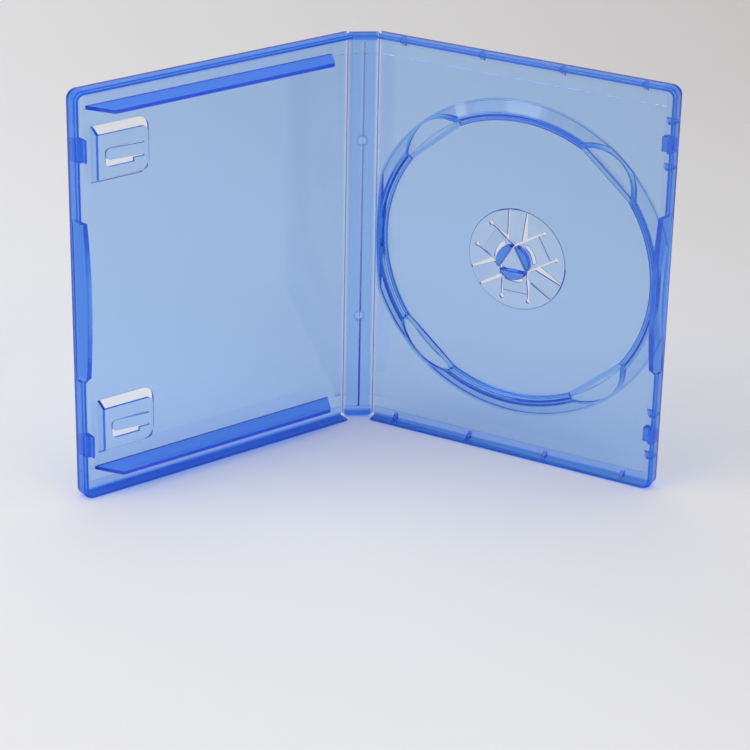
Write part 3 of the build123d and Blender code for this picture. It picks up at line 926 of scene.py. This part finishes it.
class CASE_OT_stage(bpy.types.Operator):
    """Sets the seamless paper, the lights and the camera"""

    bl_idname = "case.stage"
    bl_label = "Stage"

    def execute(self, context):
        look = context.scene.case_look
        self.paper(look)
        self.lights(context)
        self.camera(context, look)
        context.scene.view_settings.view_transform = "Standard"
        return {"FINISHED"}

    def paper(self, look):
        start()
        bpy.ops.mesh.primitive_plane_add(size=1.0)
        sheet = bpy.context.active_object
        facing = Matrix.Rotation(look.camera_azimuth, 4, "Z")
        size = Matrix.Diagonal((*PAPER_SIZE, 1.0, 1.0))
        lay(sheet, facing @ Matrix.Translation((0.0, PAPER_NEAR, 0.0)) @ size)
        away = facing.to_3x3() @ Vector((0.0, 1.0, 0.0))
        bpy.ops.object.mode_set(mode="EDIT")
        bpy.ops.mesh.select_all(action="DESELECT")
        bpy.ops.mesh.select_mode(type="EDGE")
        bpy.ops.object.mode_set(mode="OBJECT")
        self.pick_far_edge(sheet.data, away)
        bpy.ops.object.mode_set(mode="EDIT")
        bpy.ops.mesh.extrude_region_move(TRANSFORM_OT_translate={"value": (0.0, 0.0, PAPER_TALL)})
        bpy.ops.object.mode_set(mode="OBJECT")
        self.pick_far_edge(sheet.data, away)
        bpy.ops.object.mode_set(mode="EDIT")
        bpy.ops.mesh.bevel(offset=PAPER_BEND, segments=PAPER_BEND_STEPS, affect="EDGES")
        sheet = made("studio_paper")
        bpy.ops.object.shade_smooth()
        dress([sheet], studio_paper(look))

    def pick_far_edge(self, mesh, away):
        """Selects the edge on the floor that lies farthest away."""
        far = max(vertex.co.dot(away) for vertex in mesh.vertices)
        for edge in mesh.edges:
            ends = [mesh.vertices[index].co for index in edge.vertices]
            edge.select = all(abs(end.z) < PAPER_CLOSE and end.dot(away) > far - PAPER_CLOSE for end in ends)

    def lights(self, context):
        world = bpy.data.worlds.new("studio")
        context.scene.world = world
        world.use_nodes = True
        backdrop = world.node_tree.nodes["Background"]
        backdrop.inputs["Color"].default_value = rgba(SKY_COLOUR)
        backdrop.inputs["Strength"].default_value = SKY_STRENGTH
        for name, place, size, power in LAMPS:
            start()
            bpy.ops.object.light_add(type="AREA", location=place)
            lamp = bpy.context.active_object
            lamp.name = name
            lamp.data.name = name
            lamp.data.shape = "RECTANGLE"
            lamp.data.size, lamp.data.size_y = size
            lamp.data.energy = power
            lamp.rotation_euler = (LAMP_AIM - Vector(place)).to_track_quat("-Z", "Y").to_euler()

    def camera(self, context, look):
        start()
        bpy.ops.object.camera_add()
        camera = bpy.context.active_object
        camera.name = "photo_camera"
        turn, tip, roll = look.camera_azimuth, look.camera_pitch, look.camera_roll
        back = Vector((sin(turn) * cos(tip), -cos(turn) * cos(tip), sin(tip)))
        level = Vector((cos(turn), sin(turn), 0.0))
        rise = back.cross(level)
        right = level * cos(roll) + rise * sin(roll)
        camera.matrix_world = placed((right, back.cross(right), back), look.camera_place)
        camera.data.sensor_width = SENSOR
        camera.data.lens = look.camera_lens
        camera.data.clip_end = CAMERA_REACH
        context.scene.camera = camera


class CASE_PT_panel(bpy.types.Panel):
    """Lists the steps that dress the case"""

    bl_idname = "CASE_PT_panel"
    bl_label = "Disc case"
    bl_space_type = "VIEW_3D"
    bl_region_type = "UI"
    bl_category = "Disc case"

    def draw(self, context):
        for step in STEPS:
            self.layout.operator(step.bl_idname)
        for name in CaseLook.__annotations__:
            self.layout.prop(context.scene.case_look, name)


STEPS = (CASE_OT_plastic, CASE_OT_seat_rim, CASE_OT_sleeve, CASE_OT_hinge_folds, CASE_OT_stage)
CLASSES = (CaseLook,) + STEPS + (CASE_PT_panel,)


def register():
    for item in CLASSES:
        bpy.utils.register_class(item)
    bpy.types.Scene.case_look = bpy.props.PointerProperty(type=CaseLook)


def unregister():
    del bpy.types.Scene.case_look
    for item in reversed(CLASSES):
        bpy.utils.unregister_class(item)


def main():
    register()
    bpy.ops.case.plastic()
    bpy.ops.case.seat_rim()
    bpy.ops.case.sleeve()
    bpy.ops.case.hinge_folds()
    bpy.ops.case.stage()


if __name__ == "__main__":
    main()
